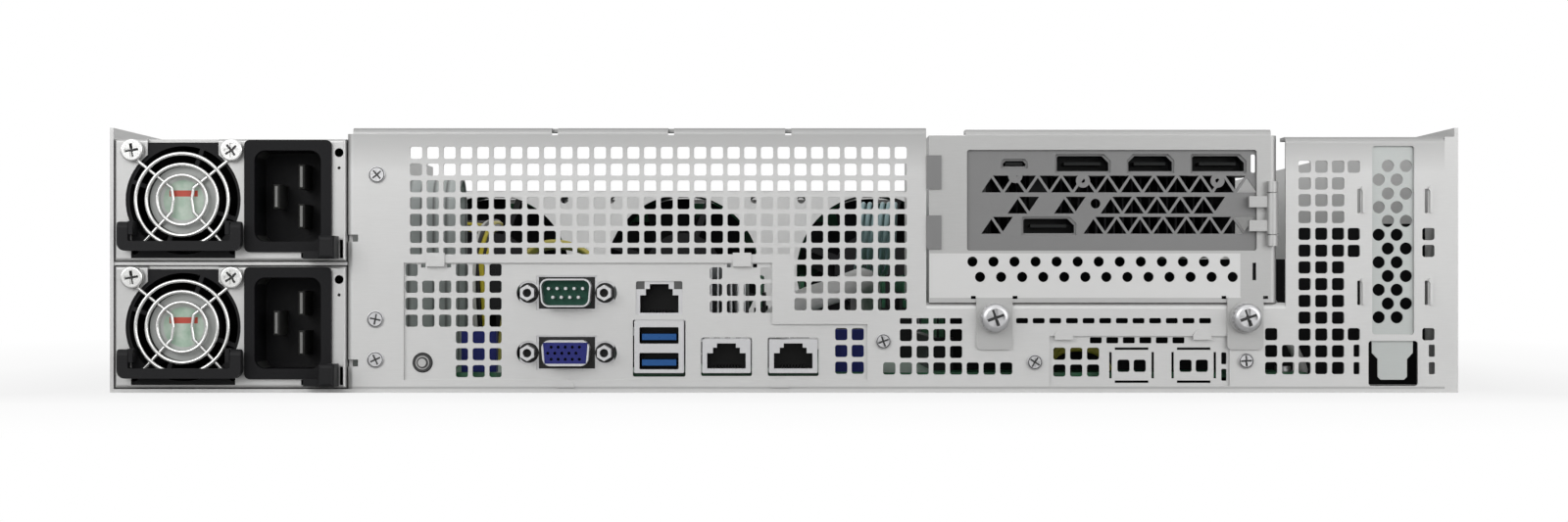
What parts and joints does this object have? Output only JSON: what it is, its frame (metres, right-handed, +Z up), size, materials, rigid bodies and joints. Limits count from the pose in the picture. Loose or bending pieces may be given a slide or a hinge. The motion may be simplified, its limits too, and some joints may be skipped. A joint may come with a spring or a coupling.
{
  "type": "2u rack server",
  "caption": "Two-unit rack server, top cover off: perforated rear, twin hot-swap supplies, riser with double-width card, board, fan wall and drive bays.",
  "frame": {"origin": "under the middle of the server's bounding box, on the surface it stands on", "axes": "+X to the right when the rear is looked at, -Y the rear, +Y the front, +Z up"},
  "size_m": [0.4826, 0.691, 0.0865],
  "materials": {
    "steel": "bright zinc-plated sheet steel, fine grain",
    "riser_steel": "zinc-plated sheet steel",
    "psu_steel": "nickel-plated supply case",
    "bracket_steel": "dark nickel card bracket",
    "wire": "bright wire",
    "black_plastic": "moulded black plastic",
    "handle_plastic": "moulded black plastic, fine texture",
    "inlet_plastic": "black inlet body",
    "board": "green solder-masked board",
    "aluminium": "extruded fins",
    "memory": "green board with black chips",
    "ports": "plated connector shells",
    "screw_steel": "plated screws",
    "cable": "sleeved wire bundle",
    "button_plastic": "pale plastic",
    "ear_paint": "black powder coat",
    "shroud": "black shroud"
  },
  "bodies": {
    "chassis": {"backplane": "board", "board_parts": "board", "chassis_tray": "steel", "cpu_heatsinks": "aluminium", "drive_cage": "steel", "ear_handles": "ear_paint", "fan_frames": "black_plastic", "fan_wall": "steel", "gpu_board": "board", "gpu_bracket": "bracket_steel", "gpu_cooler": "shroud", "io_panel": "steel", "lan_jacks": "ports", "memory_modules": "memory", "motherboard": "board", "network_blank": "steel", "power_board": "board", "power_cable": "cable", "psu_cage": "steel", "rack_ears": "ear_paint", "rear_panel": "steel", "riser_board": "board", "riser_cage": "riser_steel", "screws": "screw_steel", "serial_port": "ports", "slot_cover": "steel", "usb_lan_jack": "ports", "vga_port": "ports"},
    "psu_1": {"psu_1_case": "psu_steel", "psu_1_fan_frame": "black_plastic", "psu_1_fan_guard": "wire", "psu_1_inlet": "inlet_plastic"},
    "psu_1_handle_body": {"psu_1_handle": "handle_plastic"},
    "psu_1_fan": {"psu_1_fan_rotor": "black_plastic"},
    "psu_1_latch_body": {"psu_1_latch": "handle_plastic"},
    "psu_2": {"psu_2_case": "psu_steel", "psu_2_fan_frame": "black_plastic", "psu_2_fan_guard": "wire", "psu_2_inlet": "inlet_plastic"},
    "psu_2_handle_body": {"psu_2_handle": "handle_plastic"},
    "psu_2_fan": {"psu_2_fan_rotor": "black_plastic"},
    "psu_2_latch_body": {"psu_2_latch": "handle_plastic"},
    "fan_1": {"fan_1_rotor": "black_plastic"},
    "fan_2": {"fan_2_rotor": "black_plastic"},
    "fan_3": {"fan_3_rotor": "black_plastic"},
    "fan_4": {"fan_4_rotor": "black_plastic"},
    "id_button": {"id_button": "button_plastic"},
    "power_button": {"power_button": "button_plastic"},
    "card_clamp": {"card_clamp": "riser_steel"},
    "thumb_screw_1": {"thumb_screw_1": "screw_steel"},
    "thumb_screw_2": {"thumb_screw_2": "screw_steel"},
    "drive_1": {"drive_1_carrier": "black_plastic"},
    "drive_1_handle": {"drive_1_lever": "black_plastic"},
    "drive_2": {"drive_2_carrier": "black_plastic"},
    "drive_2_handle": {"drive_2_lever": "black_plastic"},
    "drive_3": {"drive_3_carrier": "black_plastic"},
    "drive_3_handle": {"drive_3_lever": "black_plastic"},
    "drive_4": {"drive_4_carrier": "black_plastic"},
    "drive_4_handle": {"drive_4_lever": "black_plastic"}
  },
  "joints": [
    {"name": "psu_1_handle_swing", "type": "hinge", "parent": "psu_1", "child": "psu_1_handle_body", "pos_m": [-0.1961, -0.339, 0.01232], "axis": [-1, 0, 0], "range_deg": [0, 90]},
    {"name": "psu_1_slide", "type": "slide", "parent": "chassis", "child": "psu_1", "axis": [0, -1, 0], "range_m": [0, 0.15]},
    {"name": "psu_1_fan_spin", "type": "hinge", "parent": "psu_1", "child": "psu_1_fan", "pos_m": [-0.1961, -0.3245, 0.02142], "axis": [0, 1, 0], "continuous": true},
    {"name": "psu_1_latch_press", "type": "slide", "parent": "psu_1", "child": "psu_1_latch_body", "axis": [-1, 0, 0], "range_m": [0, 0.002], "stiffness_N_per_m": 900},
    {"name": "psu_2_handle_swing", "type": "hinge", "parent": "psu_2", "child": "psu_2_handle_body", "pos_m": [-0.1961, -0.339, 0.05378], "axis": [-1, 0, 0], "range_deg": [0, 90]},
    {"name": "psu_2_slide", "type": "slide", "parent": "chassis", "child": "psu_2", "axis": [0, -1, 0], "range_m": [0, 0.15]},
    {"name": "psu_2_fan_spin", "type": "hinge", "parent": "psu_2", "child": "psu_2_fan", "pos_m": [-0.1961, -0.3245, 0.06288], "axis": [0, 1, 0], "continuous": true},
    {"name": "psu_2_latch_press", "type": "slide", "parent": "psu_2", "child": "psu_2_latch_body", "axis": [-1, 0, 0], "range_m": [0, 0.002], "stiffness_N_per_m": 900},
    {"name": "fan_1_spin", "type": "hinge", "parent": "chassis", "child": "fan_1", "pos_m": [-0.1449, 0.1205, 0.0427], "axis": [0, 1, 0], "continuous": true},
    {"name": "fan_2_spin", "type": "hinge", "parent": "chassis", "child": "fan_2", "pos_m": [-0.0503, 0.1205, 0.0427], "axis": [0, 1, 0], "continuous": true},
    {"name": "fan_3_spin", "type": "hinge", "parent": "chassis", "child": "fan_3", "pos_m": [0.0443, 0.1205, 0.0427], "axis": [0, 1, 0], "continuous": true},
    {"name": "fan_4_spin", "type": "hinge", "parent": "chassis", "child": "fan_4", "pos_m": [0.1389, 0.1205, 0.0427], "axis": [0, 1, 0], "continuous": true},
    {"name": "id_button_press", "type": "slide", "parent": "chassis", "child": "id_button", "axis": [0, 1, 0], "range_m": [0, 0.001], "stiffness_N_per_m": 800},
    {"name": "power_button_press", "type": "slide", "parent": "chassis", "child": "power_button", "axis": [0, -1, 0], "range_m": [0, 0.0015], "stiffness_N_per_m": 800},
    {"name": "card_clamp_swing", "type": "hinge", "parent": "chassis", "child": "card_clamp", "pos_m": [0.159, -0.3364, 0.0584], "axis": [0, 0, 1], "range_deg": [0, 100]},
    {"name": "thumb_screw_1_turn", "type": "hinge", "parent": "chassis", "child": "thumb_screw_1", "pos_m": [0.0686, -0.3345, 0.0245], "axis": [0, 1, 0], "continuous": true},
    {"name": "thumb_screw_2_turn", "type": "hinge", "parent": "chassis", "child": "thumb_screw_2", "pos_m": [0.1504, -0.3345, 0.0245], "axis": [0, 1, 0], "continuous": true},
    {"name": "drive_1_slide", "type": "slide", "parent": "chassis", "child": "drive_1", "axis": [0, 1, 0], "range_m": [0, 0.13]},
    {"name": "drive_1_lever_swing", "type": "hinge", "parent": "drive_1", "child": "drive_1_handle", "pos_m": [-0.2132, 0.3195, 0.015], "axis": [0, 0, 1], "range_deg": [0, 55]},
    {"name": "drive_2_slide", "type": "slide", "parent": "chassis", "child": "drive_2", "axis": [0, 1, 0], "range_m": [0, 0.13]},
    {"name": "drive_2_lever_swing", "type": "hinge", "parent": "drive_2", "child": "drive_2_handle", "pos_m": [-0.1038, 0.3195, 0.015], "axis": [0, 0, 1], "range_deg": [0, 55]},
    {"name": "drive_3_slide", "type": "slide", "parent": "chassis", "child": "drive_3", "axis": [0, 1, 0], "range_m": [0, 0.13]},
    {"name": "drive_3_lever_swing", "type": "hinge", "parent": "drive_3", "child": "drive_3_handle", "pos_m": [0.0056, 0.3195, 0.015], "axis": [0, 0, 1], "range_deg": [0, 55]},
    {"name": "drive_4_slide", "type": "slide", "parent": "chassis", "child": "drive_4", "axis": [0, 1, 0], "range_m": [0, 0.13]},
    {"name": "drive_4_lever_swing", "type": "hinge", "parent": "drive_4", "child": "drive_4_handle", "pos_m": [0.115, 0.3195, 0.015], "axis": [0, 0, 1], "range_deg": [0, 55]}
  ]
}
